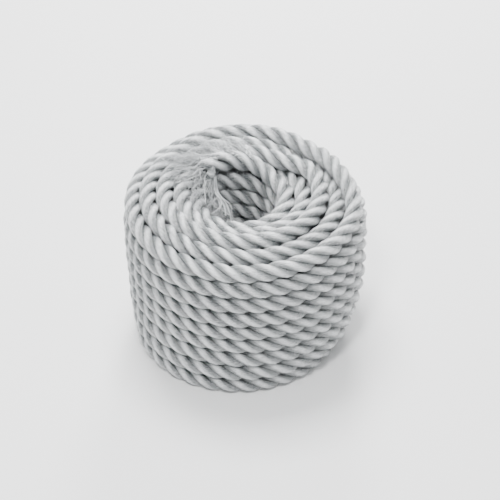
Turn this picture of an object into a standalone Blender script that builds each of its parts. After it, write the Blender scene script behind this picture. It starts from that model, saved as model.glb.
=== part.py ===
"""A short length of three-strand rope, machine-wound into a barrel-shaped coil.

The coil stands on a flat foot, its axis upright. It is one turned solid whose
skin is ribbed by the turns of rope: eight turns up the bulging side, five over
the low crown and eight down the wall of the open eye, which sits a little to
one side. The inner end of the rope lies loose on the eye's rim, at the back and
to the left, frayed out over the crown.

All places are in metres, +Z up, with the origin on the surface that the coil
stands on, under the middle of its outline. Inside the functions the section is
worked out in rope diameters, and scaled at the end.
"""
import math

import bmesh
import bpy
from mathutils import Vector

# Driving dimensions.
ROPE = 0.012              # diameter of the laid rope
SEGMENTS = 52             # facets around the coil

# Section of the coil, in rope diameters: centres of the turns that show.
SIDE_TURNS = 8            # turns up the outside
CROWN_TURNS = 5           # turns over the top, from the shoulder to the rim of the eye
WALL_TURNS = 8            # turns down the wall of the eye
BELLY = 6.07              # radius of the fullest turn
BELLY_HEIGHT = 6.6        # height of the fullest turn
BARREL_DRAW = 1.21        # how far the lowest turn is drawn in from the fullest
BARREL_POWER = 5.0        # how suddenly the barrel rounds in towards its ends
SHOULDER = 5.8            # radius of the crown's outermost turn
CROWN_BASE = 8.42         # height of the crown's outermost and innermost turns
CROWN_RISE = 0.52         # how far the middle of the crown stands above them
EYE = 2.5                 # radius of the turn on the rim of the eye
WALL = 2.4                # radius of the turns down the wall of the eye
EYE_SHIFT = -0.35         # how far the eye lies to one side of the coil's axis, along X
BACK_RISE = 0.3           # how much higher the crown stands right at the back

# Unevenness of the side below LEAN_START, along X and Y, in rope diameters.
LEAN_START = 5.2          # height that it starts from
FOOT_LEAN = (-0.43, -0.86)  # how far the outer turn at the foot stands to the left and to the front
SIDE_BOW = (0.40, 1.14)   # how the turns between it and the belly stand the other way

# Ribs that the turns raise on the skin, in rope diameters.
RIB = 0.5                 # from a turn's centre to its outside
GROOVE = 0.2              # from the line of centres to the bottom of a groove
STEPS_PER_TURN = 4        # points along the section for each turn
FOOT_STEPS = 3            # points around the bottom edge of the first and last turns

# Loose end, lying in the groove inside the eye's rim and frayed out to a point:
# radius and bearing in degrees as on a ring of the coil, height, thickness of the tube.
END_ROUTE = [
    (2.64, 95, 9.30, 0.60),
    (2.64, 104, 9.30, 0.60),
    (2.66, 113, 9.31, 0.60),
    (2.74, 122, 9.40, 0.58),
    (2.88, 131, 9.52, 0.54),
    (3.06, 139, 9.55, 0.46),
    (3.28, 146, 9.54, 0.36),
    (3.52, 152, 9.47, 0.26),
]
END_SMOOTHING = 3         # points laid on the smooth curve for each stretch of the route
END_SIDES = 3             # bevel resolution of the tube

ROPE_COLOUR = (0.78, 0.80, 0.82, 1.0)
END_COLOUR = (0.84, 0.85, 0.86, 1.0)


def clear_scene():
    """Remove whatever the scene starts with."""
    for item in list(bpy.data.objects):
        bpy.data.objects.remove(item, do_unlink=True)


def make_material(name, colour, roughness):
    """Principled material of one of the rope's surfaces."""
    material = bpy.data.materials.new(name)
    material.use_nodes = True
    shader = material.node_tree.nodes["Principled BSDF"]
    shader.inputs["Base Color"].default_value = colour
    shader.inputs["Roughness"].default_value = roughness
    shader.inputs["Metallic"].default_value = 0.0
    return material


def barrel_radius(height):
    """Radius of the outer turns at a height: full at the belly, drawn in towards the ends."""
    reach = abs(height - BELLY_HEIGHT) / (BELLY_HEIGHT - RIB)
    return BELLY - BARREL_DRAW * reach ** BARREL_POWER


def turn_centres():
    """Centres of the turns that show, as (radius, height), from the foot round to the foot."""
    centres = []
    for turn in range(SIDE_TURNS):
        height = RIB + turn
        centres.append((barrel_radius(height), height))
    for turn in range(CROWN_TURNS):
        part = turn / (CROWN_TURNS - 1)
        radius = SHOULDER + (EYE - SHOULDER) * part
        centres.append((radius, CROWN_BASE + CROWN_RISE * math.sin(math.pi * part)))
    for turn in range(WALL_TURNS):
        centres.append((WALL, RIB + WALL_TURNS - 1 - turn))
    return centres


def outward(centres, turn):
    """Unit direction across the line of centres at a turn, pointing out of the coil."""
    if turn == 0:
        return Vector((1.0, 0.0))
    if turn == len(centres) - 1:
        return Vector((-1.0, 0.0))
    along = Vector(centres[turn + 1]) - Vector(centres[turn - 1])
    return Vector((along.y, -along.x)).normalized()


def foot_edge(centre, side):
    """Points around the lower quarter of a turn that stands on the surface, from its side down."""
    points = []
    for step in range(1, FOOT_STEPS + 1):
        angle = 0.5 * math.pi * step / FOOT_STEPS
        radius = centre[0] + side * RIB * math.cos(angle)
        points.append((radius, centre[1] - RIB * math.sin(angle)))
    return points


def ribbed_section():
    """Closed outline of the coil's section, as (radius, height), with a rib for every turn."""
    centres = turn_centres()
    outline = []
    for turn in range(len(centres) - 1):
        here = Vector(centres[turn])
        there = Vector(centres[turn + 1])
        gap = (there - here).length
        for step in range(STEPS_PER_TURN):
            part = step / STEPS_PER_TURN
            off_centre = gap * min(part, 1.0 - part)
            rise = max(GROOVE, math.sqrt(max(0.0, RIB ** 2 - off_centre ** 2)))
            facing = outward(centres, turn).lerp(outward(centres, turn + 1), part).normalized()
            point = here.lerp(there, part) + facing * rise
            outline.append((point.x, point.y))
    outline.append((centres[-1][0] - RIB, centres[-1][1]))
    outline.extend(foot_edge(centres[-1], -1.0))
    outline.extend(reversed(foot_edge(centres[0], 1.0)))
    return outline


def sideways(radius, height, bearing):
    """Shift along X and Y of a place on a ring of the coil.

    Around the eye the rings lie to one side. Below LEAN_START the outer rings stand aside
    by the square of the depth, less a bow that is nothing at the start and at the foot,
    and at the back they do not stand forward.
    """
    inner = min(1.0, max(0.0, (SHOULDER - radius) / (SHOULDER - EYE)))
    outer = min(1.0, max(0.0, (radius - WALL) / (barrel_radius(height) - WALL)))
    depth = max(0.0, (LEAN_START - height) / (LEAN_START - RIB))
    bow = depth * (1.0 - depth)
    across = (FOOT_LEAN[0] * depth ** 2 + SIDE_BOW[0] * bow) * outer
    forward = 1.0 - max(0.0, math.sin(bearing)) ** 2
    along = (FOOT_LEAN[1] * depth ** 2 + SIDE_BOW[1] * bow) * outer * forward
    return EYE_SHIFT * inner + across, along


def back_rise(height, bearing):
    """Extra height of a place on the crown near the back."""
    behind = ease(3.4 * math.sin(bearing) - 2.4)
    return BACK_RISE * behind * ease(height - 7.4)


def ease(value):
    """Rise smoothly from 0 to 1 as the value does, and stay level outside."""
    held = min(1.0, max(0.0, value))
    return held * held * (3.0 - 2.0 * held)


def ring_place(radius, bearing, height):
    """Place in rope diameters of a point given by its ring and its bearing."""
    across, along = sideways(radius, height, bearing)
    return Vector((
        across + radius * math.cos(bearing),
        along + radius * math.sin(bearing),
        height + back_rise(height, bearing),
    ))


def add_object(name, data, material):
    """Put a mesh or a curve into the scene as a named object with its material."""
    data.materials.append(material)
    item = bpy.data.objects.new(name, data)
    bpy.context.collection.objects.link(item)
    return item


def build_coil(material):
    """The coil: its ribbed section carried round the axis and closed on itself."""
    outline = ribbed_section()
    shape = bmesh.new()
    rings = []
    for segment in range(SEGMENTS):
        angle = 2.0 * math.pi * segment / SEGMENTS
        ring = []
        for radius, height in outline:
            ring.append(shape.verts.new(ring_place(radius, angle, height) * ROPE))
        rings.append(ring)
    for segment in range(SEGMENTS):
        ring = rings[segment]
        following = rings[(segment + 1) % SEGMENTS]
        for step in range(len(outline)):
            after = (step + 1) % len(outline)
            shape.faces.new((ring[step], following[step], following[after], ring[after]))
    bmesh.ops.triangulate(shape, faces=shape.faces)
    bmesh.ops.recalc_face_normals(shape, faces=shape.faces)
    mesh = bpy.data.meshes.new("rope_coil")
    shape.to_mesh(mesh)
    shape.free()
    mesh.shade_smooth()
    mesh.set_sharp_from_angle(angle=math.radians(75.0))
    return add_object("rope_coil", mesh, material)


def end_places():
    """The route of the loose end in metres, with the tube's thickness at each point."""
    places = []
    for radius, bearing, height, thickness in END_ROUTE:
        place = ring_place(radius, math.radians(bearing), height)
        places.append((place * ROPE, thickness))
    return places


def smooth_route(places):
    """Points on the smooth curve through the places: each stretch bends with its neighbours."""
    route = []
    last = len(places) - 1
    for stretch in range(last):
        before = places[max(stretch - 1, 0)]
        start = places[stretch]
        end = places[stretch + 1]
        after = places[min(stretch + 2, last)]
        for step in range(END_SMOOTHING):
            part = step / END_SMOOTHING
            pull_in = (end[0] - before[0]) * 0.5
            pull_out = (after[0] - start[0]) * 0.5
            point = start[0] * (2 * part ** 3 - 3 * part ** 2 + 1)
            point = point + pull_in * (part ** 3 - 2 * part ** 2 + part)
            point = point + end[0] * (3 * part ** 2 - 2 * part ** 3)
            point = point + pull_out * (part ** 3 - part ** 2)
            route.append((point, start[1] + (end[1] - start[1]) * part))
    route.append(places[last])
    return route


def build_end(material):
    """The loose end: a round tube along its route, thinner where the strands come apart."""
    route = smooth_route(end_places())
    curve = bpy.data.curves.new("rope_end", "CURVE")
    curve.dimensions = "3D"
    curve.bevel_depth = 0.5 * ROPE
    curve.bevel_resolution = END_SIDES
    curve.use_fill_caps = True
    spline = curve.splines.new("POLY")
    spline.points.add(len(route) - 1)
    for point, (place, thickness) in zip(spline.points, route):
        point.co = (place.x, place.y, place.z, 1.0)
        point.radius = thickness
    return add_object("rope_end", curve, material)


def main():
    """Build the coil and its loose end."""
    clear_scene()
    build_coil(make_material("laid_rope", ROPE_COLOUR, 0.42))
    build_end(make_material("frayed_rope", END_COLOUR, 0.55))


if __name__ == "__main__":
    main()
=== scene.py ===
"""Looks of a coil of three-strand rope whose inner end lies frayed on the rim of its eye.

The rope is built as it is made. One centreline runs from the frayed inner end down the
innermost layer, back up the next, and so on through five layers to the cut outer end.
Its turns are let settle until they only press on each other, three strands are laid
round it, and the yarns of the inner end are opened into a brush of fibres.
"""

from __future__ import annotations

import logging
import math
from dataclasses import dataclass, field
from enum import Enum

import bpy
import numpy as np
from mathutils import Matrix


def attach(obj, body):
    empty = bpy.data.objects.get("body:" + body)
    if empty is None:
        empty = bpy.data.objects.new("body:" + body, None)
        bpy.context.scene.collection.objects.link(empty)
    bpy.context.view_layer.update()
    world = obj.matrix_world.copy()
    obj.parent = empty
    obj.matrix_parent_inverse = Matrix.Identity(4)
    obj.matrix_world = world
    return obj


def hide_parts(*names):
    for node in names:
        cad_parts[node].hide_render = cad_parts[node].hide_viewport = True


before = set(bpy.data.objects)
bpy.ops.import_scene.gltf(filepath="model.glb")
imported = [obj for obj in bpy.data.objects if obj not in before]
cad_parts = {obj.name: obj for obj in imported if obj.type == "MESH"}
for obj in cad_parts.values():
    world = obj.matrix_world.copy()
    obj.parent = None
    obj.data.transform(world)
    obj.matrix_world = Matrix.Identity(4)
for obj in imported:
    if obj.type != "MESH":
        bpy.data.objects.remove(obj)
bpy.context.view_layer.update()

ROPE = 0.012                 # diameter of the laid rope, metres
TAU = 2.0 * math.pi
BODY = "root"
POINT_STEP = 0.0028          # distance between rings along a strand, metres
log = logging.getLogger("rope_coil")


class Strand(Enum):
    """The three strands of the rope, by their place round it in turns."""

    FIRST = 0.0
    SECOND = 1.0 / 3.0
    THIRD = 2.0 / 3.0


# ---- Curves and grids ----


def smooth_step(value: np.ndarray) -> np.ndarray:
    """Ease from 0 to 1: three times the square less twice the cube, level outside 0..1."""
    held = np.clip(value, 0.0, 1.0)
    return held * held * (3.0 - 2.0 * held)


def unit(vectors: np.ndarray) -> np.ndarray:
    """Each vector divided by its own length."""
    return vectors / np.maximum(np.linalg.norm(vectors, axis=-1, keepdims=True), 1e-12)


def run_length(points: np.ndarray) -> np.ndarray:
    """Distance along a route at each of its points: the running sum of its steps.

    Args:
        points: one route or more, with step and axis last.

    Returns:
        The distances, 0 at the first point.
    """
    steps = np.linalg.norm(np.diff(points, axis=-2), axis=-1)
    start = np.zeros(steps.shape[:-1] + (1,))
    return np.concatenate([start, np.cumsum(steps, axis=-1)], axis=-1)


def respace(points: np.ndarray, step: float) -> np.ndarray:
    """Even out a route.

    Args:
        points: the route, as rows of places.
        step: the distance wanted between points.

    Returns:
        Points on the straight pieces between the given ones, evenly spaced.
    """
    distance = run_length(points)
    count = max(2, int(round(distance[-1] / step)) + 1)
    wanted = np.linspace(0.0, distance[-1], count)
    return np.stack([np.interp(wanted, distance, points[:, axis]) for axis in range(3)], axis=1)


def refine(points: np.ndarray, step: float) -> np.ndarray:
    """Round off an evenly spaced route.

    Each stretch is the cubic that leaves its first point and reaches its second along
    the lines between their neighbours.

    Args:
        points: the route, evenly spaced.
        step: the distance wanted between the finer points.

    Returns:
        The finer route.
    """
    padded = np.vstack([2.0 * points[:1] - points[1:2], points, 2.0 * points[-1:] - points[-2:-1]])
    count = int(run_length(points)[-1] / step) + 1
    place = np.linspace(0.0, len(points) - 1.000001, count)
    index = place.astype(int)
    part = (place - index)[:, None]
    before, start, end, after = (padded[index + shift] for shift in range(4))
    pull_out = 0.5 * (end - before)
    pull_in = 0.5 * (after - start)
    change = end - start
    return (
        start
        + pull_out * part
        + (3.0 * change - 2.0 * pull_out - pull_in) * part**2
        + (pull_out + pull_in - 2.0 * change) * part**3
    )


def level_axes(points: np.ndarray) -> tuple[np.ndarray, np.ndarray, np.ndarray]:
    """Directions along and across a route that never runs straight up.

    Args:
        points: the route, as rows of places.

    Returns:
        Along it, level across it, and upward across it; together a right-handed set.
    """
    along = unit(np.gradient(points, axis=0))
    up = np.array([0.0, 0.0, 1.0])
    upward = unit(up - along * (along @ up)[:, None])
    level = np.cross(upward, along)
    return along, level, upward


# ---- Meshes ----


def link_object(name: str, data: bpy.types.ID) -> bpy.types.Object:
    """Make an object of a mesh, light or camera and link it into the scene.

    Args:
        name: the object's name.
        data: what it shows.

    Returns:
        The object.
    """
    item = bpy.data.objects.new(name, data)
    bpy.context.scene.collection.objects.link(item)
    return item


@dataclass
class TubeGrid:
    """Tubes as one grid of places: tube, step along it, place round it.

    Attributes:
        rings: places of the vertices, indexed by tube, ring, side and axis.
        along: distance along each tube at each ring.
        tone: a number for each tube, kept as the face attribute "tone".
    """

    rings: np.ndarray
    along: np.ndarray
    tone: np.ndarray

    def faces(self) -> tuple[np.ndarray, np.ndarray]:
        """Corners of the side faces and of the end caps.

        Returns:
            The side faces, four corners each, and the caps, three corners each, fanned
            from a centre vertex at each end.
        """
        tubes, count, sides, _ = self.rings.shape
        base = np.arange(tubes)[:, None, None] * count * sides
        ring = np.arange(count - 1)[None, :, None] * sides
        here = np.arange(sides)[None, None, :]
        following = (here + 1) % sides
        first = base + ring
        quads = np.stack(
            [first + here, first + following, first + sides + following, first + sides + here], axis=-1
        ).reshape(-1, 4)
        centre = tubes * count * sides + np.arange(tubes)[:, None] * 2
        start = np.arange(tubes)[:, None] * count * sides
        finish = start + (count - 1) * sides
        side = np.arange(sides)[None, :]
        after = (side + 1) % sides
        first_cap = np.stack([start + after, start + side, centre + 0 * side], axis=-1)
        last_cap = np.stack([finish + side, finish + after, centre + 1 + 0 * side], axis=-1)
        caps = np.concatenate([first_cap.reshape(-1, 3), last_cap.reshape(-1, 3)])
        return quads, caps

    def surface_map(self, caps: int) -> np.ndarray:
        """Place along and round the tube at each face corner, the first in metres.

        Args:
            caps: how many cap faces follow the side faces.

        Returns:
            One pair for each corner, the side faces first.
        """
        tubes, count, sides, _ = self.rings.shape
        start = np.repeat(self.along[:, :-1, None], sides, axis=2)
        finish = np.repeat(self.along[:, 1:, None], sides, axis=2)
        low = np.broadcast_to(np.arange(sides) / sides, start.shape)
        high = low + 1.0 / sides
        pairs = ((start, low), (start, high), (finish, high), (finish, low))
        corners = np.stack([np.stack(pair, axis=-1) for pair in pairs], axis=3)
        return np.concatenate([corners.reshape(-1, 2), np.zeros((caps * 3, 2))])

    def to_object(self, name: str, material: bpy.types.Material) -> bpy.types.Object:
        """Put the tubes into one mesh object at the origin.

        Args:
            name: the object's name.
            material: its one material.

        Returns:
            The object, linked into the scene.
        """
        tubes, count, sides, _ = self.rings.shape
        quads, caps = self.faces()
        ends = self.rings[:, [0, -1]].mean(axis=2).reshape(-1, 3)
        places = np.concatenate([self.rings.reshape(-1, 3), ends])
        loops = np.concatenate([quads.ravel(), caps.ravel()])
        sizes = np.concatenate([np.full(len(quads), 4), np.full(len(caps), 3)])
        starts = np.concatenate([[0], np.cumsum(sizes)[:-1]])
        mesh = bpy.data.meshes.new(name)
        mesh.vertices.add(len(places))
        mesh.vertices.foreach_set("co", places.astype(np.float32).ravel())
        mesh.loops.add(len(loops))
        mesh.loops.foreach_set("vertex_index", loops.astype(np.int32))
        mesh.polygons.add(len(sizes))
        mesh.polygons.foreach_set("loop_start", starts.astype(np.int32))
        mesh.update(calc_edges=True)
        uv_map = mesh.uv_layers.new(name="lay")
        uv_map.data.foreach_set("uv", self.surface_map(len(caps)).astype(np.float32).ravel())
        tone = mesh.attributes.new("tone", "FLOAT", "FACE")
        by_tube = np.repeat(self.tone, (count - 1) * sides)
        by_cap = np.tile(np.repeat(self.tone, sides), 2)
        tone.data.foreach_set("value", np.concatenate([by_tube, by_cap]).astype(np.float32))
        mesh.shade_smooth()
        mesh.validate()
        mesh.materials.append(material)
        return link_object(name, mesh)


def thin_tubes(paths: np.ndarray, radii: np.ndarray, sides: int, tone: np.ndarray) -> TubeGrid:
    """Round tubes about many short routes at once.

    Each ring is a circle square to its route, set out from whichever of the three axes
    lies furthest from the route as a whole.

    Args:
        paths: routes, indexed by tube, step and axis.
        radii: thickness from the middle at each step, the same for all tubes.
        sides: facets round each tube.
        tone: a number for each tube.

    Returns:
        The tubes.
    """
    along = unit(np.gradient(paths, axis=1))
    overall = np.abs(unit(paths[:, -1] - paths[:, 0]))
    reference = np.eye(3)[overall.argmin(axis=1)][:, None, :]
    across = unit(reference - along * (along * reference).sum(axis=-1, keepdims=True))
    other = np.cross(along, across)
    angle = TAU * np.arange(sides) / sides
    circle = (
        across[:, :, None, :] * np.cos(angle)[None, None, :, None]
        + other[:, :, None, :] * np.sin(angle)[None, None, :, None]
    )
    rings = paths[:, :, None, :] + circle * radii[:, None, None]
    return TubeGrid(rings, run_length(paths), tone)


# ---- The winding ----


@dataclass
class Winding:
    """The route of the rope through the five layers of the coil.

    The section is worked out in rope diameters. Each revolution has a station, the
    radius and height that the rope holds there, and the rope steps from one station to
    the next mostly within one band of bearings, at the back and to the left.

    Attributes:
        layers: number of layers, counted from the eye outwards.
        turns_up: turns of a full layer, from the foot to the crown.
        belly, belly_height, barrel_draw, barrel_power: the outline of the barrel.
        shoulder, crown_base, crown_rise: the outline of the crown.
        eye, wall: radius of the turns on the rim and down the wall of the eye.
        eye_shift: how far the eye lies to one side.
        foot_lean: how far the outer turn at the foot stands to the left and to the front.
        side_bow: how the turns between it and the belly stand the other way.
        lean_start: height under which both count.
        back_rise, back_start: how much higher the crown stands right at the back, and
            the height where that begins.
        screw_side, screw_flat: share of a step that is spread over its whole turn, on
            the sides, and on the crown and foot.
        step_bearing: bearing of the band where the rope steps, in degrees.
        step_band: width of the band, as a share of a revolution.
        shoulder_delay: how much later than the others the last step before the shoulder
            comes, and the first after it, in turns.
        crossing: height of the hump where the rope crosses its own layers on the crown.
        end_bearing: bearing of the first step, where the innermost layer starts down.
        inner_lift: turns over which the inner end rises, and how far out and up it goes.
        outer_drop: turns over which the outer end falls, how far out it goes, and the
            height that it falls towards.
        contact, reach: how near the middles of two turns come, and how near they are
            looked at.
        tail, outer_end: turns before the first step, and past the last station.
        spacing: distance between points while the rope settles.
        wander, wave_length: size of the turns' small unevenness, and its shortest and
            longest wave.
        settling, pairing: passes of settling, and passes between looks for near pairs.
        eagerness: part of a push that is carried out in each pass.
        memory: share of each point's shift that is kept from pass to pass.
    """

    layers: int = 5
    turns_up: int = 9
    belly: float = 6.07
    belly_height: float = 6.6
    barrel_draw: float = 1.21
    barrel_power: float = 5.0
    shoulder: float = 5.8
    crown_base: float = 8.42
    crown_rise: float = 0.52
    eye: float = 2.5
    wall: float = 2.4
    eye_shift: float = -0.35
    foot_lean: tuple[float, float] = (-0.43, -0.86)
    side_bow: tuple[float, float] = (0.40, 1.14)
    lean_start: float = 5.2
    back_rise: float = 0.3
    back_start: float = 7.4
    screw_side: float = 0.55
    screw_flat: float = 0.1
    step_bearing: float = 41.0
    step_band: float = 0.12
    shoulder_delay: tuple[float, float] = (0.11, -0.05)
    crossing: float = 0.04
    end_bearing: float = 125.0
    inner_lift: tuple[float, float, float] = (0.33, 0.16, 0.72)
    outer_drop: tuple[float, float, float] = (0.17, 0.42, 0.52)
    contact: float = 0.93
    reach: float = 1.35
    tail: float = 0.06
    outer_end: float = 0.30
    spacing: float = 0.5
    wander: float = 0.030
    wave_length: tuple[float, float] = (9.0, 47.0)
    settling: int = 140
    pairing: int = 10
    eagerness: float = 1.3
    memory: float = 0.995

    def barrel_radius(self, height: np.ndarray) -> np.ndarray:
        """Radius of the outer turns: full at the belly, less a power of the distance from it."""
        reach = np.abs(height - self.belly_height) / (self.belly_height - 0.5)
        return self.belly - self.barrel_draw * reach**self.barrel_power

    def sideways(self, radius: np.ndarray, height: np.ndarray, bearing: np.ndarray) -> np.ndarray:
        """How far a turn's middle lies from the axis.

        The turns at the eye lie to one side, and those outside them less. Below the belly
        the outer turns stand aside by the square of the depth, less a bow that is nothing
        at both ends. At the back they do not stand forward.

        Args:
            radius: radius of the turn.
            height: its height.
            bearing: direction from the axis.

        Returns:
            The shift along X and Y.
        """
        inner = np.clip((self.shoulder - radius) / (self.shoulder - self.eye), 0.0, 1.0)
        outer = np.clip((radius - self.wall) / (self.barrel_radius(height) - self.wall), 0.0, 1.0)
        depth = np.clip((self.lean_start - height) / (self.lean_start - 0.5), 0.0, 1.2)
        lean = np.array(self.foot_lean)[:, None] * depth**2
        lean = lean + np.array(self.side_bow)[:, None] * depth * (1.0 - depth)
        forward = 1.0 - np.clip(np.sin(bearing), 0.0, 1.0) ** 2
        return np.stack([self.eye_shift * inner + lean[0] * outer, lean[1] * outer * forward], axis=-1)

    def crown(self, layer: int) -> tuple[float, float]:
        """Radius and height of a layer's turn on the crown: an arch of one half wave.

        Args:
            layer: the layer, 0 at the eye.

        Returns:
            Its radius and height.
        """
        part = 1.0 - layer / (self.layers - 1)
        radius = self.shoulder + (self.eye - self.shoulder) * part
        return radius, self.crown_base + self.crown_rise * math.sin(math.pi * part)

    def layer_stations(self, layer: int) -> np.ndarray:
        """Stations of one layer from the foot to the crown.

        Args:
            layer: the layer, 0 at the eye.

        Returns:
            Radius and height of each turn. Every second layer starts half a turn higher
            and lies in the grooves of the one inside it.
        """
        top_radius, top_height = self.crown(layer)
        height = np.linspace(0.5 + 0.5 * (layer % 2), top_height, self.turns_up)
        radius = self.wall + (self.barrel_radius(height) - self.wall) * layer / (self.layers - 1)
        radius[-1] = top_radius
        return np.stack([radius, height], axis=1)

    def stations(self) -> np.ndarray:
        """Stations of the whole rope from the inner end: down, up, down, up and down.

        Returns:
            Radius and height of each turn.
        """
        rows = []
        for layer in range(self.layers):
            stations = self.layer_stations(layer)
            rows.append(stations[::-1] if layer % 2 == 0 else stations)
        return np.concatenate(rows)

    def progress(self, turn: np.ndarray, stations: np.ndarray) -> np.ndarray:
        """Where between its stations the rope is.

        A share of each step is spread evenly over the turn, as on a screw thread, and
        the rest is taken within the band. On the crown and the foot nearly all of it is.

        Args:
            turn: revolutions since the first station.
            stations: radius and height for each whole revolution.

        Returns:
            The station reached, with its fraction.
        """
        index = np.clip(np.floor(turn).astype(int), 0, len(stations) - 2)
        part = turn - index
        rise = np.abs(np.diff(stations[:, 1]))
        on_side = rise > 0.8
        screw = np.where(on_side, self.screw_side, self.screw_flat)[index]
        eased = smooth_step((part - self.step_place(index)) / self.step_band + 0.5)
        return index + np.clip(screw * part + (1.0 - screw) * eased, 0.0, 1.0)

    def step_place(self, index: np.ndarray) -> np.ndarray:
        """Share of a turn before each step, which drifts round as the innermost layer goes down.

        Args:
            index: the station that each step leaves.

        Returns:
            The shares, near a half.
        """
        drift = (self.end_bearing - self.step_bearing) / 360.0
        shoulder = (self.layers - 1) * self.turns_up
        before, after = self.shoulder_delay
        late = np.where(index == shoulder - 1, before, 0.0) + np.where(index == shoulder, after, 0.0)
        return 0.5 + late - drift * np.clip(1.0 - index / (self.turns_up - 1.0), 0.0, 1.0)

    def crossing_rise(self, turn: np.ndarray, stations: np.ndarray) -> np.ndarray:
        """Extra height where the rope crosses its own layers on the crown: one smooth hump.

        Args:
            turn: revolutions since the first station.
            stations: radius and height for each whole revolution.

        Returns:
            The extra height, 0 away from the crown.
        """
        index = np.clip(np.floor(turn).astype(int), 0, len(stations) - 2)
        crown_floor = 8.0
        high = (stations[:-1, 1] > crown_floor) & (stations[1:, 1] > crown_floor)
        part = (turn - index - self.step_place(index)) / (0.75 * self.step_band)
        hump = np.cos(0.5 * math.pi * np.clip(part, -1.0, 1.0)) ** 2
        return np.where(high[index], self.crossing * hump, 0.0)

    def centreline(self) -> np.ndarray:
        """The rope's route before it settles, evenly spaced, in rope diameters.

        The bearing falls evenly with the turns, and the radius and height go from station
        to station as the progress says.

        Returns:
            The route, from the inner end to the outer.
        """
        stations = self.stations()
        last_turn = len(stations) - 1.0
        first_turn = -0.5 - (self.end_bearing - self.step_bearing) / 360.0 - self.tail
        points_a_turn = 240.0
        turn = np.arange(first_turn, last_turn + self.outer_end, 1.0 / points_a_turn)
        held = np.clip(turn, 0.0, last_turn)
        place = self.progress(held, stations)
        count = np.arange(len(stations))
        radius = np.interp(place, count, stations[:, 0])
        height = np.interp(place, count, stations[:, 1]) + self.crossing_rise(held, stations)
        radius, height = self.loosen_ends(turn, radius, height)
        bearing = math.radians(self.step_bearing) + math.pi - TAU * turn
        behind = np.clip(np.sin(bearing) * 3.4 - 2.4, 0.0, 1.0)
        height = height + self.back_rise * smooth_step(behind) * smooth_step(height - self.back_start)
        outward = np.stack([np.cos(bearing), np.sin(bearing)], axis=1)
        level = self.sideways(radius, height, bearing) + radius[:, None] * outward
        return respace(np.concatenate([level, height[:, None]], axis=1), self.spacing)

    def loosen_ends(
        self, turn: np.ndarray, radius: np.ndarray, height: np.ndarray
    ) -> tuple[np.ndarray, np.ndarray]:
        """Ease the two ends out of the winding.

        The inner end rises out of the eye onto its rim over its last third of a turn, and
        the outer end falls beside the foot of the coil over its last sixth.

        Args:
            turn: revolutions since the first station.
            radius, height: where the winding alone would have the rope.

        Returns:
            The changed radius and height.
        """
        rising, lift_out, lift_up = self.inner_lift
        falling, drop_out, resting = self.outer_drop
        lift = smooth_step(1.0 - (turn - turn[0]) / rising)
        drop = smooth_step(1.0 - (turn[-1] - turn) / falling)
        radius = radius + lift_out * lift + drop_out * drop
        height = height + lift_up * lift
        return radius, height + (resting - height) * 0.9 * drop

    def unevenness(self, points: np.ndarray) -> np.ndarray:
        """Small wandering of the turns: slow waves along the rope, different in each direction.

        Args:
            points: the route, in rope diameters.

        Returns:
            A shift for each point.
        """
        distance = run_length(points)[:, None]
        drawn = np.random.default_rng(12)
        count = 7
        length = drawn.uniform(*self.wave_length, (count, 3))
        phase = drawn.uniform(0.0, TAU, (count, 3))
        waves = np.sin(TAU * distance[:, :, None] / length[None] + phase[None])
        return self.wander * waves.sum(axis=1) / math.sqrt(count)

    def near_pairs(self, points: np.ndarray) -> tuple[np.ndarray, np.ndarray]:
        """Pairs of points that lie within reach of each other but not next along the rope.

        Args:
            points: the route, in rope diameters.

        Returns:
            The numbers of the first and second points.
        """
        square = (points**2).sum(axis=1)
        apart = square[:, None] + square[None, :] - 2.0 * points @ points.T
        first, second = np.nonzero(apart < (self.reach * self.contact) ** 2)
        next_along = 4
        kept = second - first > next_along
        return first[kept], second[kept]

    def settle(self, goal: np.ndarray) -> np.ndarray:
        """Let the turns push each other apart until they only touch.

        Each pass moves every pair that is too close apart by about half its overlap,
        smooths the movement along the rope, and keeps the rope above the surface.

        Args:
            goal: the route before settling, in rope diameters.

        Returns:
            The settled route.
        """
        points = goal + self.unevenness(goal)
        for number in range(self.settling):
            if number % self.pairing == 0:
                first, second = self.near_pairs(points)
            gap = points[second] - points[first]
            apart = np.linalg.norm(gap, axis=1)
            overlap = np.clip(self.contact - apart, 0.0, None)
            push = gap * (0.5 * overlap / np.maximum(apart, 1e-6))[:, None]
            touching = (overlap > 0.0).astype(float)
            count = np.bincount(first, touching, len(points)) + np.bincount(second, touching, len(points))
            for axis in range(3):
                moved = np.bincount(second, push[:, axis], len(points))
                moved -= np.bincount(first, push[:, axis], len(points))
                points[:, axis] += self.eagerness * moved / np.maximum(count, 1.0)
            shift = points - goal
            shift[1:-1] = 0.25 * shift[:-2] + 0.5 * shift[1:-1] + 0.25 * shift[2:]
            points = goal + self.memory * shift
            points[:, 2] = np.maximum(points[:, 2], 0.5)
        return points

    def route(self, step: float) -> np.ndarray:
        """The settled centreline in metres, rounded off to points a step apart."""
        return refine(self.settle(self.centreline()), step / ROPE) * ROPE


# ---- Materials ----


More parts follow.
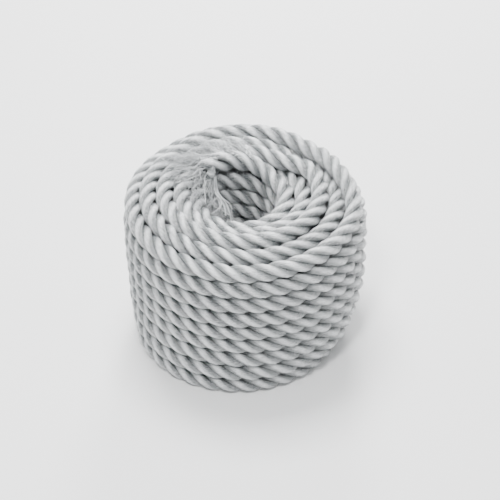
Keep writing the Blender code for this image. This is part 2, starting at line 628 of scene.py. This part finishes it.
class Shader:
    """Adds nodes to a tree and joins them."""

    def __init__(self, tree: bpy.types.NodeTree) -> None:
        """Keep the tree that nodes go into."""
        self.tree = tree

    def add(self, kind: str, **settings: object) -> bpy.types.Node:
        """Add a node.

        Args:
            kind: the node's type name.
            settings: properties to set on it.

        Returns:
            The node.
        """
        node = self.tree.nodes.new(kind)
        node.location = (180.0 * len(self.tree.nodes), 0.0)
        for name, value in settings.items():
            setattr(node, name, value)
        return node

    def feed(self, socket: bpy.types.NodeSocket, source: object) -> None:
        """Join a source to a socket, or set the socket where the source is a plain value.

        Args:
            socket: the socket to feed.
            source: another socket, or a value.
        """
        if isinstance(source, bpy.types.NodeSocket):
            self.tree.links.new(source, socket)
        else:
            socket.default_value = source

    def feed_all(self, node: bpy.types.Node, *sources: object) -> bpy.types.NodeSocket:
        """Feed a node's first sockets in order, and give back its first result.

        Args:
            node: the node.
            sources: sockets or plain values.

        Returns:
            The first result's socket.
        """
        for socket, source in zip(node.inputs, sources):
            self.feed(socket, source)
        return node.outputs[0]

    def maths(self, operation: str, *values: object) -> bpy.types.NodeSocket:
        """Work out a number from others, which are sockets or plain numbers."""
        return self.feed_all(self.add("ShaderNodeMath", operation=operation), *values)

    def times(self, first: object, second: object) -> bpy.types.NodeSocket:
        """The product of two numbers."""
        return self.maths("MULTIPLY", first, second)

    def plus(self, first: object, second: object) -> bpy.types.NodeSocket:
        """The sum of two numbers."""
        return self.maths("ADD", first, second)

    def join(self, x: object, y: object, z: object) -> bpy.types.NodeSocket:
        """Make a vector from three numbers."""
        return self.feed_all(self.add("ShaderNodeCombineXYZ"), x, y, z)

    def noise(self, vector: object, scale: float, detail: float = 2.0) -> bpy.types.NodeSocket:
        """Smooth noise between 0 and 1 at a place.

        Args:
            vector: the place.
            scale: how many lumps there are in each unit.
            detail: layers of finer noise.

        Returns:
            The noise's socket.
        """
        node = self.add("ShaderNodeTexNoise", noise_dimensions="3D")
        self.feed(node.inputs["Vector"], vector)
        node.inputs["Scale"].default_value = scale
        node.inputs["Detail"].default_value = detail
        return node.outputs["Fac"]

    def spread(
        self, value: object, low: float, high: float, to_low: float, to_high: float
    ) -> bpy.types.NodeSocket:
        """Carry a number from the range low..high to to_low..to_high, held at the ends."""
        node = self.add("ShaderNodeMapRange", clamp=True)
        return self.feed_all(node, value, low, high, to_low, to_high)

    def blend(self, share: object, first: object, second: object) -> bpy.types.NodeSocket:
        """Mix two colours.

        Args:
            share: how much of the second there is.
            first, second: the colours.

        Returns:
            The mixed colour's socket.
        """
        node = self.add("ShaderNodeMix", data_type="RGBA")
        self.feed(node.inputs[0], share)
        self.feed(node.inputs[6], first)
        self.feed(node.inputs[7], second)
        return node.outputs[2]


def node_group(name: str, inputs: dict[str, str], outputs: dict[str, str]) -> bpy.types.NodeTree:
    """Start a shader node group.

    Args:
        name: the group's name.
        inputs, outputs: kind of each socket, by its name.

    Returns:
        The group, with its sockets and no nodes yet.
    """
    group = bpy.data.node_groups.new(name, "ShaderNodeTree")
    for in_out, sockets in (("INPUT", inputs), ("OUTPUT", outputs)):
        for title, kind in sockets.items():
            group.interface.new_socket(name=title, in_out=in_out, socket_type=kind)
    return group


def build_yarn_group() -> bpy.types.NodeTree:
    """Yarns that lie along a strand, with the fibres in them.

    The place round the strand plus a share of that along it stays the same on one yarn.
    Its fraction gives the yarn's round back, and fine noise drawn out along it the fibres.

    Returns:
        The group, which gives the yarns' height and tone and the fibres.
    """
    group = node_group(
        "yarn_lay",
        {"Lay": "NodeSocketVector", "Yarns": "NodeSocketFloat", "Yarn Pitch": "NodeSocketFloat"},
        {"Height": "NodeSocketFloat", "Tone": "NodeSocketFloat", "Fibre": "NodeSocketFloat"},
    )
    wander_scale, wander_reach = 90.0, 0.55     # how the yarns weave about, in yarns
    roundness = 0.6                             # power that flattens a yarn's round back
    tone_step, tone_scale = 7.31, 14.0          # how far tones are apart, across and along
    fibres_across, fibres_along = 5.0, 260.0    # how fine the fibres are, across and along
    fibre_slant, fibre_height = 0.004, 0.45
    shader = Shader(group)
    entry = shader.add("NodeGroupInput")
    split = shader.add("ShaderNodeSeparateXYZ")
    shader.feed(split.inputs[0], entry.outputs["Lay"])
    along = split.outputs[0]
    around = split.outputs[1]
    advance = shader.maths("DIVIDE", along, entry.outputs["Yarn Pitch"])
    place = shader.times(shader.plus(around, advance), entry.outputs["Yarns"])
    wander = shader.noise(shader.join(along, around, 0.0), wander_scale, 1.0)
    place = shader.plus(place, shader.times(wander, wander_reach))
    fraction = shader.maths("FRACT", place)
    round_back = shader.maths("SINE", shader.times(fraction, math.pi))
    back = shader.maths("POWER", round_back, roundness)
    number = shader.maths("FLOOR", place)
    yarn_place = shader.join(shader.times(number, tone_step), shader.times(along, tone_scale), 0.5)
    tone = shader.noise(yarn_place, 1.0, 1.0)
    slanted = shader.maths("SUBTRACT", along, shader.times(around, fibre_slant))
    fibre_place = shader.join(
        shader.times(place, fibres_across), shader.times(slanted, fibres_along), 0.0
    )
    fibre = shader.noise(fibre_place, 1.0, 2.0)
    height = shader.plus(back, shader.times(fibre, fibre_height))
    leave = shader.add("NodeGroupOutput")
    for socket, source in zip(leave.inputs, (height, tone, fibre)):
        shader.feed(socket, source)
    return group


@dataclass(frozen=True)
class RopeFinish:
    """Glossy synthetic yarns.

    Attributes:
        name: the material's name.
        light, dark: colours of the palest and the dullest yarns.
        painted_groove_shade: painted shade, the colour laid down between the strands where their shade
            falls.
        roughness: how dull the fibres are.
        sheen: strength of the soft gleam of fibre ends.
        yarns: yarns round a strand.
        yarn_pitch: length in which a yarn goes once round its strand, in metres.
        bump: depth of the yarns' relief, in metres.
        own_tone: how much each strand, yarn or fibre differs from the next.
        paints_crest_and_groove: whether the surface carries painted light and shade as on a laid strand:
            its inner side darkened as painted shade, its outer crest left pale as a painted highlight.
        painted_crest_band: cosine of the angle round a strand where the painted shade starts to come in,
            and where it is full; the pale crest inside it is a painted highlight.
        patches: how many duller patches there are in each metre.
        yarn_share: how much of the tone is each yarn's own and not the patches'.
        refraction, drawn_out: strength of the gloss, and how far it is drawn out along
            the yarns.
    """

    name: str
    light: tuple[float, float, float, float]
    dark: tuple[float, float, float, float]
    painted_groove_shade: tuple[float, float, float, float]
    roughness: float
    sheen: float
    yarns: float
    yarn_pitch: float
    bump: float
    own_tone: float
    paints_crest_and_groove: bool
    painted_crest_band: tuple[float, float] = (1.0, 0.60)
    patches: float = 38.0
    yarn_share: float = 0.55
    refraction: float = 2.1
    drawn_out: float = 0.9

    def build(self, yarn_group: bpy.types.NodeTree) -> bpy.types.Material:
        """Make the material.

        Args:
            yarn_group: the node group of the yarns.

        Returns:
            The material, ready to dress a piece that carries the "lay" map.
        """
        material = bpy.data.materials.new(self.name)
        material.use_nodes = True
        shader = Shader(material.node_tree)
        surface = material.node_tree.nodes["Principled BSDF"]
        lay = shader.add("ShaderNodeUVMap", uv_map="lay").outputs[0]
        yarn = shader.add("ShaderNodeGroup", node_tree=yarn_group)
        shader.feed(yarn.inputs["Lay"], lay)
        yarn.inputs["Yarns"].default_value = self.yarns
        yarn.inputs["Yarn Pitch"].default_value = self.yarn_pitch
        place = shader.add("ShaderNodeTexCoord").outputs["Object"]
        patch = shader.noise(place, self.patches, 3.0)
        yarn_tone = shader.times(yarn.outputs["Tone"], self.yarn_share)
        tone = shader.plus(yarn_tone, shader.times(patch, 1.0 - self.yarn_share))
        own = shader.add("ShaderNodeAttribute", attribute_name="tone").outputs["Fac"]
        own_shift = shader.times(shader.maths("SUBTRACT", own, 0.5), self.own_tone)
        tone = shader.plus(tone, own_shift)
        colour = shader.blend(shader.spread(tone, 0.32, 0.68, 0.0, 1.0), self.dark, self.light)
        # Painted highlight and shade: only the strand's outer crest keeps the yarn colour, and towards
        # the grooves the colour turns to the painted shade, standing in for the gloss on the crest and
        # the shade between strands.
        if self.paints_crest_and_groove:
            split = shader.add("ShaderNodeSeparateXYZ")
            shader.feed(split.inputs[0], lay)
            outward = shader.maths("COSINE", shader.times(split.outputs[1], TAU))
            depth = shader.spread(outward, *self.painted_crest_band, 0.0, 1.0)
            colour = shader.blend(depth, colour, self.painted_groove_shade)
        fleck = shader.spread(yarn.outputs["Fibre"], 0.35, 0.7, -0.07, 0.09)
        dull = shader.spread(patch, 0.3, 0.7, -0.05, 0.06)
        rough = shader.plus(shader.plus(self.roughness, fleck), dull)
        bump = shader.add("ShaderNodeBump")
        bump.inputs["Distance"].default_value = self.bump
        bump.inputs["Strength"].default_value = 0.8
        shader.feed(bump.inputs["Height"], yarn.outputs["Height"])
        tangent = shader.add("ShaderNodeTangent", direction_type="UV_MAP", uv_map="lay")
        sources = {
            "Base Color": colour,
            "Roughness": rough,
            "Normal": bump.outputs[0],
            "Specular IOR Level": 1.0,
            "IOR": self.refraction,
            "Anisotropic": self.drawn_out,
            "Anisotropic Rotation": 0.25,
            "Tangent": tangent.outputs[0],
            "Sheen Weight": self.sheen,
            "Sheen Roughness": 0.35,
        }
        for name, source in sources.items():
            shader.feed(surface.inputs[name], source)
        return material


LAID = RopeFinish(
    name="laid_rope",
    light=(0.84, 0.86, 0.875, 1.0),
    dark=(0.46, 0.48, 0.49, 1.0),
    # painted shade for the grooves between the strands
    painted_groove_shade=(0.135, 0.152, 0.158, 1.0),
    roughness=0.28,
    sheen=0.12,
    yarns=15.0,
    yarn_pitch=0.026,
    bump=0.0006,
    own_tone=0.06,
    paints_crest_and_groove=True,
)
FRAYED = RopeFinish(
    name="frayed_rope",
    light=(0.66, 0.68, 0.69, 1.0),
    dark=(0.26, 0.28, 0.29, 1.0),
    painted_groove_shade=(0.5, 0.5, 0.5, 1.0),
    roughness=0.5,
    sheen=0.25,
    yarns=6.0,
    yarn_pitch=0.006,
    bump=0.00006,
    own_tone=0.45,
    paints_crest_and_groove=False,
)


# ---- The rope ----


@dataclass
class LaidRope:
    """Three strands laid right-handed round the winding's centreline.

    Attributes:
        route: the centreline, in metres.
        lay_length: distance in which a strand goes once round the rope.
        strand_radius: half the thickness of a strand.
        strand_offset: from the rope's middle to a strand's.
        depth, width: how a strand's section is pressed, as shares of a round one.
        sides: facets round a strand.
        open_length, open_share: length at the inner end over which the strands come
            apart, and by how much of their offset.
        axes, distance, turned: directions along and across the rope, distance along it,
            and turns of the strands round it, at each point of the route.
    """

    route: np.ndarray
    lay_length: float = 3.0 * ROPE
    strand_radius: float = 0.230 * ROPE
    strand_offset: float = 0.266 * ROPE
    depth: float = 0.98
    width: float = 1.02
    sides: int = 14
    open_length: float = 3.2 * ROPE
    open_share: float = 0.5
    axes: tuple[np.ndarray, np.ndarray, np.ndarray] = field(init=False)
    distance: np.ndarray = field(init=False)
    turned: np.ndarray = field(init=False)

    def nesting(self) -> np.ndarray:
        """Small changes of the lay that let neighbouring turns nest strand in groove.

        Where the rope passes the front or the back of the coil, its strands stand half a
        strand on from those of the next ring on the crown, and a tenth from those of the
        row above on the side. What is missing at each pass is at most half a strand, and
        is spread evenly over the rope between passes.

        Returns:
            Extra turns of the strands round the rope, at each point of the route.
        """
        crown_floor, rim, ring_width = 8.15, 5.8, 0.85
        side_radius = 4.6
        front, behind = math.radians(-100.0), math.radians(95.0)
        x, y, z = (self.route / ROPE).T
        bearing = np.unwrap(np.arctan2(y, x))
        outer_layer = 0.75 * len(bearing)
        places = []
        wanted = []
        for start in (front, behind):
            first = math.ceil((bearing[-1] - start) / TAU)
            passes = start + TAU * np.arange(first, math.floor((bearing[0] - start) / TAU) + 1)
            index = np.searchsorted(-bearing, -passes)
            radius = np.hypot(x, y)[index]
            crown = z[index] > crown_floor
            side = (z[index] < crown_floor) & (radius > side_radius) & (index > outer_layer)
            side = side & (start == front)
            ring = np.round((rim - radius) / ring_width)
            row = np.round(z[index] - 0.5)
            share = np.where(crown, 0.5 * ring, 0.1 * row)
            kept = crown | side
            places.append(self.distance[index][kept])
            wanted.append(share[kept])
        order = np.argsort(np.concatenate(places))
        distance = np.concatenate(places)[order]
        missing = np.concatenate(wanted)[order] - 3.0 * distance / self.lay_length
        missing = missing - np.round(missing)
        return np.interp(self.distance, distance, np.unwrap(missing, period=1.0)) / 3.0

    def __post_init__(self) -> None:
        """Work out the directions across the rope once for all strands."""
        self.axes = level_axes(self.route)
        self.distance = run_length(self.route)
        self.turned = self.distance / self.lay_length + self.nesting()

    def strand_middle(self, strand: Strand) -> tuple[np.ndarray, np.ndarray]:
        """A strand's own centreline.

        It is a right-handed screw round the rope, which opens out at the inner end.

        Args:
            strand: which strand.

        Returns:
            Its places, and the direction from the rope's middle to it.
        """
        _, level, upward = self.axes
        angle = TAU * (self.turned + strand.value)
        outward = level * np.cos(angle)[:, None] + upward * np.sin(angle)[:, None]
        opening = 1.0 + self.open_share * smooth_step(1.0 - self.distance / self.open_length)
        return self.route + outward * (self.strand_offset * opening)[:, None], outward

    def strand_grid(self, strand: Strand) -> TubeGrid:
        """A strand as a tube whose section is a little wider than deep.

        Args:
            strand: which strand.

        Returns:
            The tube, narrowing to a rounded stub at each end of the rope.
        """
        middle, outward = self.strand_middle(strand)
        along = unit(np.gradient(middle, axis=0))
        outward = unit(outward - along * (along * outward).sum(axis=1, keepdims=True))
        across = np.cross(along, outward)
        angle = TAU * np.arange(self.sides) / self.sides
        deep, wide = np.cos(angle) * self.depth, np.sin(angle) * self.width
        to_end = np.minimum(self.distance, self.distance[-1] - self.distance)
        stub = np.sqrt(smooth_step(to_end / (0.5 * self.strand_radius)) * 0.96 + 0.04)
        size = (self.strand_radius * stub)[:, None, None]
        ring = outward[:, None, :] * deep[None, :, None] + across[:, None, :] * wide[None, :, None]
        rings = middle[:, None, :] + ring * size
        return TubeGrid(rings[None], run_length(middle)[None], np.array([strand.value]))

    def build(self, material: bpy.types.Material) -> list[bpy.types.Object]:
        """Make the three strands.

        Args:
            material: the finish of laid rope.

        Returns:
            The strands, the first one first.
        """
        return [
            self.strand_grid(strand).to_object(f"rope_strand_{strand.name.lower()}", material)
            for strand in Strand
        ]


@dataclass
class FrayedEnd:
    """The brush at the loose inner end: yarns that have left their strands, and their fibres.

    Attributes:
        rope: the laid rope it grows from.
        winding: the coil, for the height of the crown that it lies on.
        tip_yarns: yarns that run on from the end of the rope.
        side_yarns: yarns that have come out of the strands before the end.
        fibres: loose fibres in the whole brush.
        yarn_radius, fibre_radius: half the thickness of each.
        tip_reach, side_reach, fibre_reach: shortest and longest of each, in rope diameters.
        steps: points along each yarn and fibre.
        sway, ripple: reach of its two waves, as shares of its length.
        sag: its fall over its first rope diameter, in rope diameters.
        press: how strongly what stands up is pressed down.
    """

    rope: LaidRope
    winding: Winding
    tip_yarns: int = 64
    side_yarns: int = 70
    fibres: int = 1300
    yarn_radius: float = 0.00040
    fibre_radius: float = 0.00008
    tip_reach: tuple[float, float] = (1.3, 3.0)
    side_reach: tuple[float, float] = (0.9, 2.4)
    fibre_reach: tuple[float, float] = (0.4, 1.5)
    steps: int = 20
    sway: float = 0.20
    ripple: float = 0.075
    sag: float = 0.2
    press: float = 0.3

    def crown_height(self, places: np.ndarray) -> np.ndarray:
        """Height of the crown over a place: its arch plus half a rope, falling away over the eye.

        Args:
            places: places, with the axis last.

        Returns:
            The height at each, in metres.
        """
        coil = self.winding
        half_rope = 0.44
        eye_depth = 2.2
        radius = np.hypot(places[..., 0] / ROPE - 0.8 * coil.eye_shift, places[..., 1] / ROPE)
        part = np.clip((coil.shoulder - radius) / (coil.shoulder - coil.eye), 0.0, 1.0)
        arch = coil.crown_base + coil.crown_rise * np.sin(math.pi * part) + half_rope
        return (arch - eye_depth * smooth_step((coil.eye - radius) / 0.7)) * ROPE

    def brush(self, roots: np.ndarray, heading: np.ndarray, length: np.ndarray, seed: int) -> np.ndarray:
        """Wavy routes that fan out from roots and sink onto the crown or into the eye.

        Each runs along its heading, with two waves that grow from nothing, and falls with
        the square of the distance until it meets the crown. Away from its root, its height
        over the crown is then divided by one plus a share of itself.

        Args:
            roots: where each route starts.
            heading: its direction there.
            length: its length.
            seed: start of the random draws.

        Returns:
            The routes, indexed by fibre, step and axis.
        """
        drawn = np.random.default_rng(seed)
        count = len(roots)
        part = np.linspace(0.0, 1.0, self.steps)[None, :, None]
        run = length[:, None, None] * part
        across = unit(drawn.normal(size=(count, 1, 3)))
        other = unit(drawn.normal(size=(count, 1, 3)))
        turns = drawn.uniform(0.5, 1.6, (count, 1, 1))
        wave = np.sin(TAU * turns * part + drawn.uniform(0, TAU, (count, 1, 1)))
        ripple = np.sin(TAU * turns * 3.1 * part + drawn.uniform(0, TAU, (count, 1, 1)))
        routes = roots[:, None, :] + heading[:, None, :] * run
        routes = routes + across * wave * run * self.sway + other * ripple * run * self.ripple
        routes[..., 2] -= (self.sag * run**2 / ROPE)[..., 0]
        floor = self.crown_height(routes) + drawn.uniform(0.0, 0.22, (count, 1)) * ROPE
        ease = smooth_step(part[..., 0] * 5.0)
        excess = np.maximum(routes[..., 2] - floor, 0.0)
        lifted = floor + excess / (1.0 + self.press * excess / ROPE)
        routes[..., 2] += (lifted - routes[..., 2]) * ease
        return routes

    def tip_roots(self, drawn: np.random.Generator) -> tuple[np.ndarray, np.ndarray]:
        """Where the yarns leave the end of the rope, and which way they head.

        They are spread over the three strands. More than half of them hang into the eye,
        and the rest run on along its rim.

        Args:
            drawn: the source of the random draws.

        Returns:
            Their roots and their headings.
        """
        along, level, upward = (axis[2] for axis in self.rope.axes)
        inside = unit(-self.rope.route[2] * np.array([1.0, 1.0, 0.0]))
        strands = list(Strand)
        roots = []
        headings = []
        for number in range(self.tip_yarns):
            middle, outward = self.rope.strand_middle(strands[number % len(strands)])
            angle = drawn.uniform(0.0, TAU)
            reach = self.rope.strand_radius * math.sqrt(drawn.uniform(0.0, 0.7))
            around = level * math.cos(angle) + upward * math.sin(angle)
            roots.append(middle[3] + around * reach)
            inward = max(0.0, drawn.uniform(-1.0, 1.5))
            spreading = outward[3] * 0.55 + around * 0.45
            headings.append(-along + spreading + inside * inward - upward * 0.3 * inward)
        return np.array(roots), unit(np.array(headings) + drawn.normal(0.0, 0.2, (self.tip_yarns, 3)))

    def side_roots(self, drawn: np.random.Generator) -> tuple[np.ndarray, np.ndarray]:
        """Where the yarns leave the strands before the end, and which way they head.

        They leave on top of the rope and are swept back over the crown.

        Args:
            drawn: the source of the random draws.

        Returns:
            Their roots and their headings.
        """
        pick = drawn.integers(3, 14, self.side_yarns)
        along, level, upward = (axis[pick] for axis in self.rope.axes)
        away = self.rope.route[pick] * np.array([1.0, 1.0, 0.0])
        outside = level * np.sign((level * away).sum(axis=1, keepdims=True))
        lean = drawn.uniform(-0.25, 1.0, (self.side_yarns, 1))
        roots = self.rope.route[pick] + (upward * 0.42 + outside * 0.22 * lean) * ROPE
        sweep = drawn.uniform(0.3, 1.1, (self.side_yarns, 1))
        heading = outside * (0.25 + 0.75 * lean) - along * sweep + upward * 0.12
        return roots, unit(heading + drawn.normal(0.0, 0.16, heading.shape))

    def build(self, material: bpy.types.Material) -> list[bpy.types.Object]:
        """Make the brush.

        Args:
            material: the finish of frayed yarn.

        Returns:
            The yarns and the fibres, a piece of each.
        """
        drawn = np.random.default_rng(41)
        tip_roots, tip_headings = self.tip_roots(drawn)
        side_roots, side_headings = self.side_roots(drawn)
        roots = np.concatenate([tip_roots, side_roots])
        headings = np.concatenate([tip_headings, side_headings])
        tip_length = drawn.uniform(*self.tip_reach, self.tip_yarns)
        length = np.concatenate([tip_length, drawn.uniform(*self.side_reach, self.side_yarns)])
        yarn_routes = self.brush(roots, headings, length * ROPE, 7)
        taper = np.linspace(1.0, 0.35, self.steps)
        yarns = thin_tubes(yarn_routes, self.yarn_radius * taper, 6, drawn.random(len(roots)))
        pick = drawn.integers(0, len(roots), self.fibres)
        start = drawn.integers(1, self.steps - 3, self.fibres)
        fibre_roots = yarn_routes[pick, start]
        onward = unit(yarn_routes[pick, start + 2] - fibre_roots)
        stray = drawn.normal(0.0, 0.45, (self.fibres, 3)) * np.array([1.0, 1.0, 0.5])
        fibre_headings = unit(onward + stray)
        fibre_length = drawn.uniform(*self.fibre_reach, self.fibres) * ROPE
        fibre_routes = self.brush(fibre_roots, fibre_headings, fibre_length, 9)
        taper = np.linspace(1.0, 0.6, self.steps)
        fibres = thin_tubes(fibre_routes, self.fibre_radius * taper, 3, drawn.random(self.fibres))
        return [yarns.to_object("frayed_yarns", material), fibres.to_object("frayed_fibres", material)]


# ---- Stage ----


@dataclass(frozen=True)
class Studio:
    """Pale floor, soft lights and the camera.

    Attributes:
        elevation: height of the view above level, in degrees.
        distance: from the camera to the point it looks at.
        scale, frame_side: image points for each rope diameter, and across the frame.
        sensor: width of the sensor, in millimetres.
        aside, above: where the coil's middle stands from the frame's, in rope diameters.
        middle: height of the coil's middle, in rope diameters.
        floor_side: half the side of the floor, in metres.
        fill: strength of the light from all around.
    """

    elevation: float = 40.5
    distance: float = 1.2
    scale: float = 18.27
    frame_side: float = 500.0
    sensor: float = 36.0
    aside: float = -0.22
    above: float = -0.38
    middle: float = 4.5
    floor_side: float = 6.0
    fill: float = 0.78

    def camera(self) -> bpy.types.Object:
        """Set up the camera, aimed a little off the coil's middle, without shift.

        Returns:
            The camera.
        """
        tilt = math.radians(self.elevation)
        up = np.array([0.0, math.sin(tilt), math.cos(tilt)])
        back = np.array([0.0, -math.cos(tilt), math.sin(tilt)])
        target = np.array([-self.aside, 0.0, self.middle]) * ROPE - up * self.above * ROPE
        data = bpy.data.cameras.new("camera")
        data.sensor_width = self.sensor
        data.lens = self.sensor * self.scale / self.frame_side * self.distance / ROPE
        data.clip_start = 0.05
        item = link_object("camera", data)
        item.location = target + back * self.distance
        item.rotation_euler = (math.pi / 2.0 - tilt, 0.0, 0.0)
        bpy.context.scene.camera = item
        return item

    def floor(self) -> bpy.types.Object:
        """A wide pale floor.

        Returns:
            The floor.
        """
        side = self.floor_side
        corners = [(-side, -side, 0.0), (side, -side, 0.0), (side, side, 0.0), (-side, side, 0.0)]
        mesh = bpy.data.meshes.new("floor")
        mesh.from_pydata(corners, [], [(0, 1, 2, 3)])
        item = link_object("floor", mesh)
        material = bpy.data.materials.new("pale_floor")
        material.use_nodes = True
        surface = material.node_tree.nodes["Principled BSDF"]
        surface.inputs["Base Color"].default_value = (0.95, 0.95, 0.95, 1.0)
        surface.inputs["Roughness"].default_value = 0.9
        mesh.materials.append(material)
        return item

    def lamp(self, name: str, place: tuple[float, float, float], size: float, power: float) -> None:
        """A square soft light aimed at the coil.

        Args:
            name: the light's name.
            place: where it hangs.
            size: length of its side.
            power: its strength in watts.
        """
        data = bpy.data.lights.new(name, "AREA")
        data.size = size
        data.energy = power
        item = link_object(name, data)
        item.location = place
        aim = np.array([0.0, 0.0, 0.05])
        direction = -(np.array(place) - aim)
        tilt = math.atan2(math.hypot(direction[0], direction[1]), -direction[2])
        turn = math.atan2(direction[1], direction[0]) - math.pi / 2.0
        item.rotation_euler = (tilt, 0.0, turn)

    def light(self) -> None:
        """Even pale surroundings, a broad light overhead, a smaller one in front and one behind."""
        world = bpy.data.worlds.new("studio")
        world.use_nodes = True
        background = world.node_tree.nodes["Background"]
        background.inputs[0].default_value = (0.97, 0.99, 1.0, 1.0)
        background.inputs[1].default_value = self.fill
        bpy.context.scene.world = world
        self.lamp("overhead", (-0.08, 0.28, 1.05), 0.4, 19.0)
        self.lamp("key", (-0.12, -0.50, 0.92), 0.15, 8.0)
        self.lamp("back", (0.10, 1.0, 0.45), 0.25, 14.0)


def main() -> None:
    studio = Studio()
    studio.camera()
    studio.floor()
    studio.light()
    winding = Winding()
    rope = LaidRope(winding.route(POINT_STEP))
    yarn_group = build_yarn_group()
    laid = LAID.build(yarn_group)
    frayed = FRAYED.build(yarn_group)
    strands = rope.build(laid)
    brush = FrayedEnd(rope, winding).build(frayed)
    for piece in strands:
        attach(piece, BODY)
        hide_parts("rope_coil")
        log.info("%s: %d faces", piece.name, len(piece.data.polygons))
    for piece in brush:
        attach(piece, BODY)
        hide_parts("rope_end")
        log.info("%s: %d faces", piece.name, len(piece.data.polygons))
    log.info("rope length %.2f m", rope.distance[-1])


if __name__ == "__main__":
    logging.basicConfig(level=logging.INFO, format="%(message)s")
    main()
